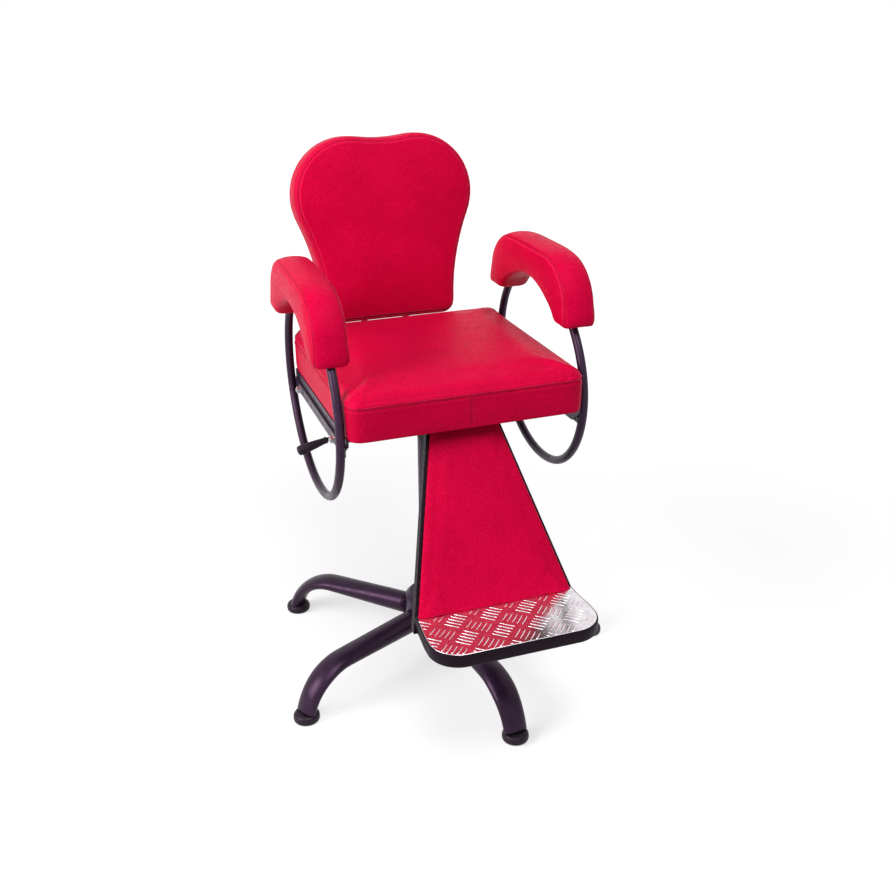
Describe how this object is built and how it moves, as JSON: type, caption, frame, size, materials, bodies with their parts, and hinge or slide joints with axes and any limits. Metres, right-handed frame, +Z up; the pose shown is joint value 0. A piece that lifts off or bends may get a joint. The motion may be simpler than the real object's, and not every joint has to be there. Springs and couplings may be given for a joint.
{
  "type": "child's salon chair",
  "caption": "Child-size upholstered salon chair with oval ring arms, lobed back, calf panel and treadplate footrest on a swivelling gas-lift star base.",
  "frame": {"origin": "on the floor, on the axis of the swivel column", "axes": "+Z up, the sitter looks along -Y, and +X is at the sitter's left hand"},
  "size_m": [0.6845, 0.7899, 1.0057],
  "materials": {
    "black_steel": "satin black powder coat",
    "bare_steel": "ground steel",
    "zinc_steel": "bright zinc",
    "black_plastic": "fine matt",
    "red_leather": "mottled crimson leatherette, soft sheen",
    "plywood": "raw plywood",
    "black_board": "black painted edge",
    "tread_aluminium": "polished five-bar tread"
  },
  "bodies": {
    "base": {"base_hub": "black_steel", "base_leg_1": "black_steel", "base_leg_2": "black_steel", "base_leg_3": "black_steel", "base_leg_4": "black_steel", "base_leg_5": "black_steel", "foot_glide_1": "black_plastic", "foot_glide_2": "black_plastic", "foot_glide_3": "black_plastic", "foot_glide_4": "black_plastic", "foot_glide_5": "black_plastic", "column_tube": "black_steel", "column_end_plate": "black_steel", "guide_bush": "black_plastic", "lower_race": "bare_steel", "bearing_balls": "bare_steel"},
    "spindle": {"piston_rod": "bare_steel", "upper_race": "bare_steel", "piston": "bare_steel", "rod_clip": "bare_steel"},
    "lever": {"lever_rod": "black_steel", "lever_grip": "black_plastic"},
    "valve": {"valve_pin": "bare_steel"},
    "seat": {"arm_block_left": "plywood", "arm_block_right": "plywood", "arm_bolts": "zinc_steel", "arm_nuts": "zinc_steel", "arm_pad_left": "red_leather", "arm_pad_right": "red_leather", "arm_pad_screws": "zinc_steel", "arm_ring_left": "black_steel", "arm_ring_right": "black_steel", "arm_washers": "zinc_steel", "back_board": "plywood", "back_cushion": "red_leather", "back_screws": "zinc_steel", "back_support_left": "black_steel", "back_support_right": "black_steel", "calf_pad": "red_leather", "cross_member_front": "black_steel", "cross_member_rear": "black_steel", "cylinder_end_guide": "black_plastic", "footplate_board": "black_board", "footrest_screws": "zinc_steel", "footrest_strut_left": "black_steel", "footrest_strut_right": "black_steel", "frame_screws": "zinc_steel", "gas_cylinder": "black_steel", "lever_pivot_pin": "bare_steel", "mount_bolts": "zinc_steel", "panel_board": "black_board", "seat_board": "plywood", "seat_cushion": "red_leather", "seat_mount_plate": "black_steel", "side_rail_left": "black_steel", "side_rail_right": "black_steel", "tread_plate": "tread_aluminium"}
  },
  "joints": [
    {"name": "seat_swivel", "type": "hinge", "parent": "base", "child": "spindle", "pos_m": [0, 0, 0.074], "axis": [0, 0, 1], "continuous": true},
    {"name": "seat_lift", "type": "slide", "parent": "spindle", "child": "seat", "axis": [0, 0, 1], "range_m": [0, 0.12]},
    {"name": "lever_lift", "type": "hinge", "parent": "seat", "child": "lever", "pos_m": [-0.036, 0, 0.548], "axis": [0, 1, 0], "range_deg": [0, 6], "stiffness_Nm_per_rad": 3, "springref_deg": -2.86},
    {"name": "valve_press", "type": "slide", "parent": "seat", "child": "valve", "axis": [0, 0, 1], "range_m": [-0.004, 0]}
  ],
  "couplings": [
    {"joint": "valve_press", "follows": "lever_lift", "m_per_rad": -0.036}
  ]
}
